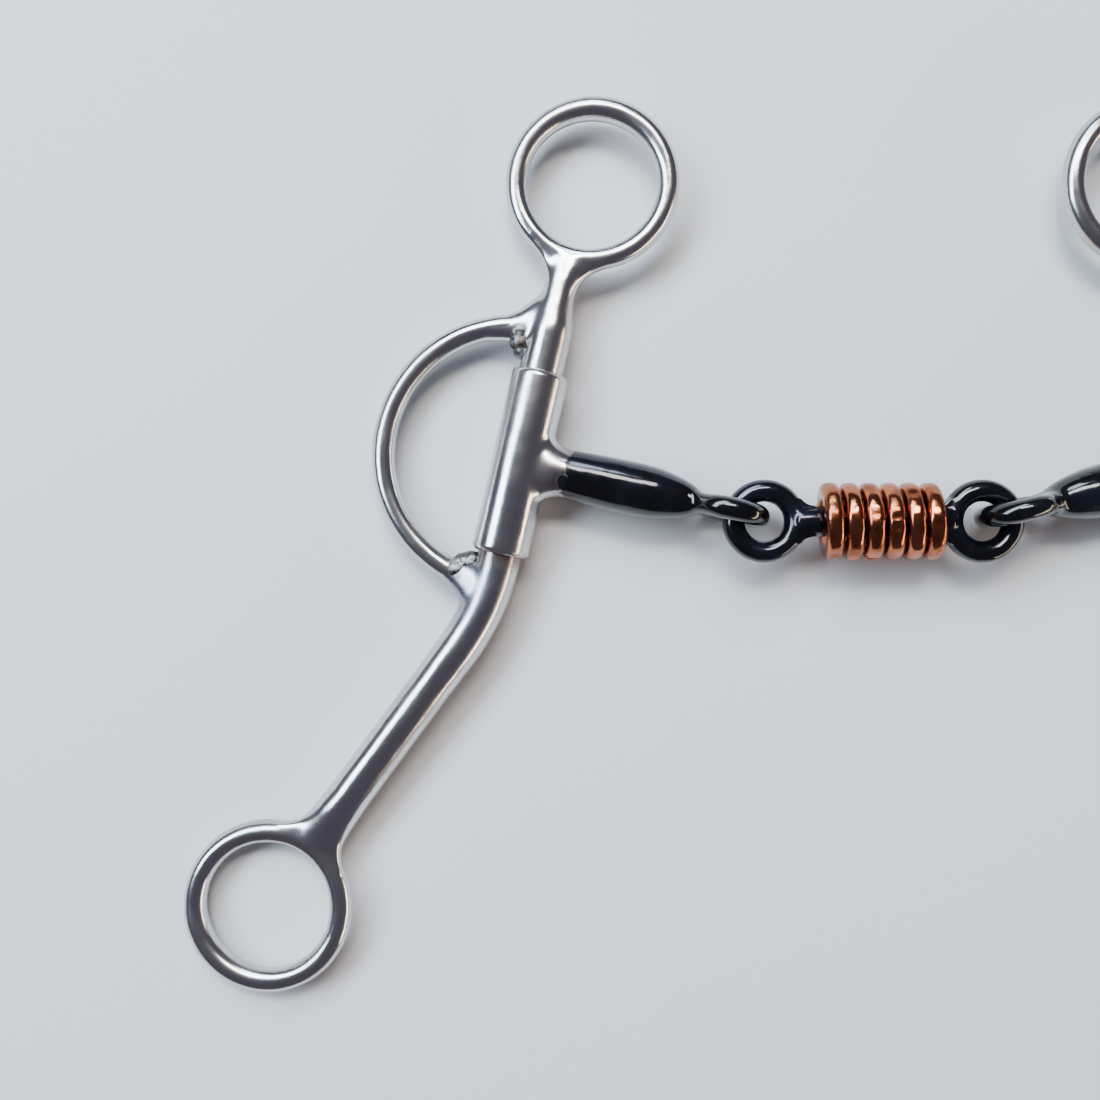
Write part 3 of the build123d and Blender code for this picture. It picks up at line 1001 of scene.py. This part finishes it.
class SNAFFLE_OT_copper_rings(bpy.types.Operator):
    """Bend the six loose copper rings, each from its own length of wire"""

    bl_idname = "snaffle.copper_rings"
    bl_label = "Copper rings"

    def execute(self, context):
        wire = size("copper_wire")
        radius = (size("copper_dia") - wire) / 2
        for number, (seam_at, dents) in enumerate(zip(SEAMS, DENTS), start=1):
            ring = bent_bar(
                radius, wire, seam_at + SEAM_HALF_GAP, 360 - 2 * SEAM_HALF_GAP, steps=150, segments=36)
            flatten_faces(ring, radius, wire / 2)
            for turn in (seam_at + SEAM_HALF_GAP, seam_at - SEAM_HALF_GAP):
                soften_end(ring, radius, turn)
            for turn, reach, depth in dents:
                aim = Vector((math.cos(math.radians(turn)), math.sin(math.radians(turn)), 0))
                dent(ring, aim * (radius + wire / 2), reach, -aim * depth)
            roughen(ring, f"copper_waves_{number}", 3.4, 0.11, seed_shift=7.0 * number)
            low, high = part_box(f"copper_ring_{number}")
            axle = Vector(JOINTS[f"copper_ring_{number}_spin"]["axis"])
            far_side = Vector((0, 0, 1)).cross(axle)
            frame_of_ring = axes_frame((low + high) / 2, far_side, axle.cross(far_side))
            settle(
                ring, frame_of_ring, f"copper_roller_{number}", [f"copper_ring_{number}"],
                f"copper_{number}", finish_of("copper", copper))
        return {"FINISHED"}


# ---------------------------------------------------------------- stage

FLOOR_ACROSS = 8
FLOOR_LEVEL = -0.0002
PALE_FLOOR = ((0.64, 0.64, 0.65, 1), (0.68, 0.68, 0.685, 1))
STUDIO_AIR, STUDIO_AIR_STRENGTH = (0.42, 0.38, 0.53, 1), 0.24
CAMERA_PLACE = (-0.06196, -0.00087, 0.2186)
CAMERA_LENS = 35.95

# Each light is (name, place, width, depth, power, colour), and faces the middle of the bit.
LIGHT_SPREAD = math.radians(140)
LIGHTS = (
    ("window", (-0.50, 0.46, 0.66), 1.5, 0.30, 17.5, (0.68, 0.83, 1.0)),
    ("lamp", (0.70, -0.30, 0.20), 0.9, 0.10, 2.4, (1.0, 0.80, 0.60)),
    ("sky", (-0.05, 0.95, 1.5), 0.9, 0.36, 16.0, (1.0, 0.97, 0.92)),
)


class SNAFFLE_OT_stage(bpy.types.Operator):
    """Lay the pale floor, hang the soft lights and set the camera straight above"""

    bl_idname = "snaffle.stage"
    bl_label = "Stage"

    def execute(self, context):
        clear()
        bpy.ops.mesh.primitive_plane_add(size=FLOOR_ACROSS, location=(0, 0, FLOOR_LEVEL))
        floor = bpy.context.object
        floor.name = floor.data.name = "floor"
        material, tree, shader, where = start_material("floor_paper")
        tone = mix(tree, noise(tree, where, 3, 2), *PALE_FLOOR)
        tree.links.new(tone, shader.inputs["Base Color"])
        shader.inputs["Roughness"].default_value = 0.75
        floor.data.materials.append(material)
        floor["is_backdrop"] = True
        for name, hung_at, across, deep, power, tint in LIGHTS:
            bpy.ops.object.light_add(type="AREA", location=hung_at)
            light = bpy.context.object
            light.name = light.data.name = name
            light.data.shape = "RECTANGLE"
            light.data.size, light.data.size_y = across, deep
            light.data.energy = power
            light.data.color = tint
            light.data.spread = LIGHT_SPREAD
            light.rotation_euler = (-Vector(hung_at)).to_track_quat("-Z", "Y").to_euler()
            light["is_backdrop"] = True
        world = bpy.data.worlds.new("studio")
        world.use_nodes = True
        air = world.node_tree.nodes["Background"]
        air.inputs["Color"].default_value = STUDIO_AIR
        air.inputs["Strength"].default_value = STUDIO_AIR_STRENGTH
        bpy.context.scene.world = world
        bpy.ops.object.camera_add(location=CAMERA_PLACE, rotation=(0, 0, 0))
        camera = bpy.context.object
        camera.name = camera.data.name = "camera_above"
        camera.data.lens = CAMERA_LENS
        camera.data.sensor_width = 36
        camera.data.clip_start = 0.005
        camera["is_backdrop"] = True
        bpy.context.scene.camera = camera
        return {"FINISHED"}


# ---------------------------------------------------------------- panel and registration

PIECES = (
    SNAFFLE_OT_shanks, SNAFFLE_OT_rings, SNAFFLE_OT_bows, SNAFFLE_OT_welds, SNAFFLE_OT_sleeves,
    SNAFFLE_OT_cannons, SNAFFLE_OT_dog_bone, SNAFFLE_OT_copper_rings, SNAFFLE_OT_stage,
)


class SNAFFLE_PT_panel(bpy.types.Panel):
    """Buttons for each piece of the bit, with its sizes and colours"""

    bl_idname = "SNAFFLE_PT_panel"
    bl_label = "Snaffle Bit"
    bl_space_type = "VIEW_3D"
    bl_region_type = "UI"
    bl_category = "Snaffle"

    def draw(self, context):
        for group in (context.scene.snaffle_sizes, context.scene.snaffle_colours):
            for name in group.bl_rna.properties.keys():
                if name not in ("rna_type", "name"):
                    self.layout.prop(group, name)
        for piece in PIECES:
            self.layout.operator(piece.bl_idname)


CLASSES = (SnaffleSizes, SnaffleColours) + PIECES + (SNAFFLE_PT_panel,)


def register():
    for cls in CLASSES:
        bpy.utils.register_class(cls)
    bpy.types.Scene.snaffle_sizes = bpy.props.PointerProperty(type=SnaffleSizes)
    bpy.types.Scene.snaffle_colours = bpy.props.PointerProperty(type=SnaffleColours)


def unregister():
    del bpy.types.Scene.snaffle_colours
    del bpy.types.Scene.snaffle_sizes
    for cls in reversed(CLASSES):
        bpy.utils.unregister_class(cls)


def main():
    register()
    bpy.ops.snaffle.shanks()
    bpy.ops.snaffle.rings()
    bpy.ops.snaffle.bows()
    bpy.ops.snaffle.welds()
    bpy.ops.snaffle.sleeves()
    bpy.ops.snaffle.cannons()
    bpy.ops.snaffle.dog_bone()
    bpy.ops.snaffle.copper_rings()
    bpy.ops.snaffle.stage()
    boxes = {"cad": CAD_BOX, "visual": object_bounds()}
    plain = {name: [list(corner) for corner in box] for name, box in boxes.items()}


if __name__ == "__main__":
    main()
